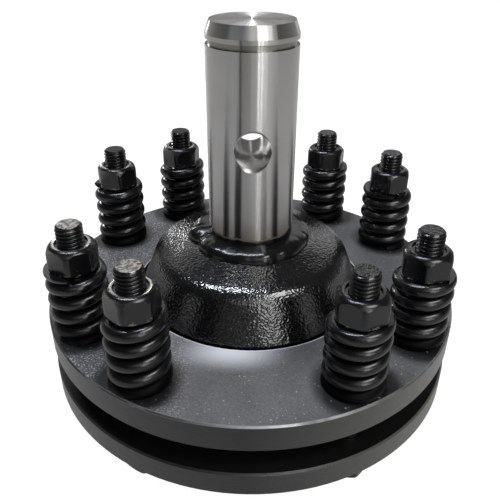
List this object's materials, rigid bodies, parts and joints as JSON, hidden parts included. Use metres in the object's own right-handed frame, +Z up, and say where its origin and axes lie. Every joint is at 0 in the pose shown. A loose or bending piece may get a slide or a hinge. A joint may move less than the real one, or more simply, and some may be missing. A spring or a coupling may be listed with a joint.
{
  "type": "friction torque limiter",
  "caption": "Spring-loaded friction torque limiter: a welded round input shaft and bell drive a lined flange clamped between two bolted plates with coil springs.",
  "frame": {"origin": "on the axis, level with the bottom of the bolt heads that the part stands on", "axes": "+Z up along the input shaft, +X and +Y across the plates, with the cross hole's mouth near -Y"},
  "size_m": [0.174, 0.174, 0.1508],
  "materials": {
    "bare_steel": "turned, satin",
    "black_paint": "semi-gloss black paint",
    "rough_black_paint": "semi-gloss black paint on a rough forging",
    "spring_paint": "black paint on spring wire",
    "friction_lining": "moulded friction lining",
    "bronze": "turned bronze",
    "bolt_steel": "black painted bolt",
    "nylon": "plastic insert, painted over"
  },
  "bodies": {
    "hub_side": {"hub_plate": "black_paint", "output_hub": "black_paint", "hub_weld": "rough_black_paint", "pressure_plate": "black_paint", "bolt_1": "bolt_steel", "bolt_2": "bolt_steel", "bolt_3": "bolt_steel", "bolt_4": "bolt_steel", "bolt_5": "bolt_steel", "bolt_6": "bolt_steel", "bolt_7": "bolt_steel", "bolt_8": "bolt_steel"},
    "drive_side": {"input_shaft": "bare_steel", "shaft_weld": "rough_black_paint", "drive_bell": "rough_black_paint", "upper_friction_disc": "friction_lining", "lower_friction_disc": "friction_lining", "pilot_bush": "bronze"},
    "spring_top_1": {"spring_1": "spring_paint"},
    "lock_nut_1": {"nut_1": "black_paint", "nut_insert_1": "nylon"},
    "spring_top_2": {"spring_2": "spring_paint"},
    "lock_nut_2": {"nut_2": "black_paint", "nut_insert_2": "nylon"},
    "spring_top_3": {"spring_3": "spring_paint"},
    "lock_nut_3": {"nut_3": "black_paint", "nut_insert_3": "nylon"},
    "spring_top_4": {"spring_4": "spring_paint"},
    "lock_nut_4": {"nut_4": "black_paint", "nut_insert_4": "nylon"},
    "spring_top_5": {"spring_5": "spring_paint"},
    "lock_nut_5": {"nut_5": "black_paint", "nut_insert_5": "nylon"},
    "spring_top_6": {"spring_6": "spring_paint"},
    "lock_nut_6": {"nut_6": "black_paint", "nut_insert_6": "nylon"},
    "spring_top_7": {"spring_7": "spring_paint"},
    "lock_nut_7": {"nut_7": "black_paint", "nut_insert_7": "nylon"},
    "spring_top_8": {"spring_8": "spring_paint"},
    "lock_nut_8": {"nut_8": "black_paint", "nut_insert_8": "nylon"}
  },
  "joints": [
    {"name": "slip", "type": "hinge", "parent": "hub_side", "child": "drive_side", "pos_m": [0, 0, 0.03], "axis": [0, 0, 1], "continuous": true},
    {"name": "spring_travel_1", "type": "slide", "parent": "hub_side", "child": "spring_top_1", "axis": [0, 0, 1], "range_m": [-0.0015, 0.003], "deforming": ["spring_1"]},
    {"name": "nut_turn_1", "type": "hinge", "parent": "spring_top_1", "child": "lock_nut_1", "pos_m": [0.0375, -0.06495, 0.0688], "axis": [0, 0, 1], "range_deg": [-370, 740]},
    {"name": "spring_travel_2", "type": "slide", "parent": "hub_side", "child": "spring_top_2", "axis": [0, 0, 1], "range_m": [-0.0015, 0.003], "deforming": ["spring_2"]},
    {"name": "nut_turn_2", "type": "hinge", "parent": "spring_top_2", "child": "lock_nut_2", "pos_m": [0.06495, -0.0375, 0.0688], "axis": [0, 0, 1], "range_deg": [-370, 740]},
    {"name": "spring_travel_3", "type": "slide", "parent": "hub_side", "child": "spring_top_3", "axis": [0, 0, 1], "range_m": [-0.0015, 0.003], "deforming": ["spring_3"]},
    {"name": "nut_turn_3", "type": "hinge", "parent": "spring_top_3", "child": "lock_nut_3", "pos_m": [0.06495, 0.0375, 0.0688], "axis": [0, 0, 1], "range_deg": [-370, 740]},
    {"name": "spring_travel_4", "type": "slide", "parent": "hub_side", "child": "spring_top_4", "axis": [0, 0, 1], "range_m": [-0.0015, 0.003], "deforming": ["spring_4"]},
    {"name": "nut_turn_4", "type": "hinge", "parent": "spring_top_4", "child": "lock_nut_4", "pos_m": [0.0375, 0.06495, 0.0688], "axis": [0, 0, 1], "range_deg": [-370, 740]},
    {"name": "spring_travel_5", "type": "slide", "parent": "hub_side", "child": "spring_top_5", "axis": [0, 0, 1], "range_m": [-0.0015, 0.003], "deforming": ["spring_5"]},
    {"name": "nut_turn_5", "type": "hinge", "parent": "spring_top_5", "child": "lock_nut_5", "pos_m": [-0.0375, 0.06495, 0.0688], "axis": [0, 0, 1], "range_deg": [-370, 740]},
    {"name": "spring_travel_6", "type": "slide", "parent": "hub_side", "child": "spring_top_6", "axis": [0, 0, 1], "range_m": [-0.0015, 0.003], "deforming": ["spring_6"]},
    {"name": "nut_turn_6", "type": "hinge", "parent": "spring_top_6", "child": "lock_nut_6", "pos_m": [-0.06495, 0.0375, 0.0688], "axis": [0, 0, 1], "range_deg": [-370, 740]},
    {"name": "spring_travel_7", "type": "slide", "parent": "hub_side", "child": "spring_top_7", "axis": [0, 0, 1], "range_m": [-0.0015, 0.003], "deforming": ["spring_7"]},
    {"name": "nut_turn_7", "type": "hinge", "parent": "spring_top_7", "child": "lock_nut_7", "pos_m": [-0.06495, -0.0375, 0.0688], "axis": [0, 0, 1], "range_deg": [-370, 740]},
    {"name": "spring_travel_8", "type": "slide", "parent": "hub_side", "child": "spring_top_8", "axis": [0, 0, 1], "range_m": [-0.0015, 0.003], "deforming": ["spring_8"]},
    {"name": "nut_turn_8", "type": "hinge", "parent": "spring_top_8", "child": "lock_nut_8", "pos_m": [-0.0375, -0.06495, 0.0688], "axis": [0, 0, 1], "range_deg": [-370, 740]}
  ],
  "couplings": [
    {"joint": "nut_turn_1", "follows": "spring_travel_1", "rad_per_m": 4188.8},
    {"joint": "nut_turn_2", "follows": "spring_travel_2", "rad_per_m": 4188.8},
    {"joint": "nut_turn_3", "follows": "spring_travel_3", "rad_per_m": 4188.8},
    {"joint": "nut_turn_4", "follows": "spring_travel_4", "rad_per_m": 4188.8},
    {"joint": "nut_turn_5", "follows": "spring_travel_5", "rad_per_m": 4188.8},
    {"joint": "nut_turn_6", "follows": "spring_travel_6", "rad_per_m": 4188.8},
    {"joint": "nut_turn_7", "follows": "spring_travel_7", "rad_per_m": 4188.8},
    {"joint": "nut_turn_8", "follows": "spring_travel_8", "rad_per_m": 4188.8}
  ]
}
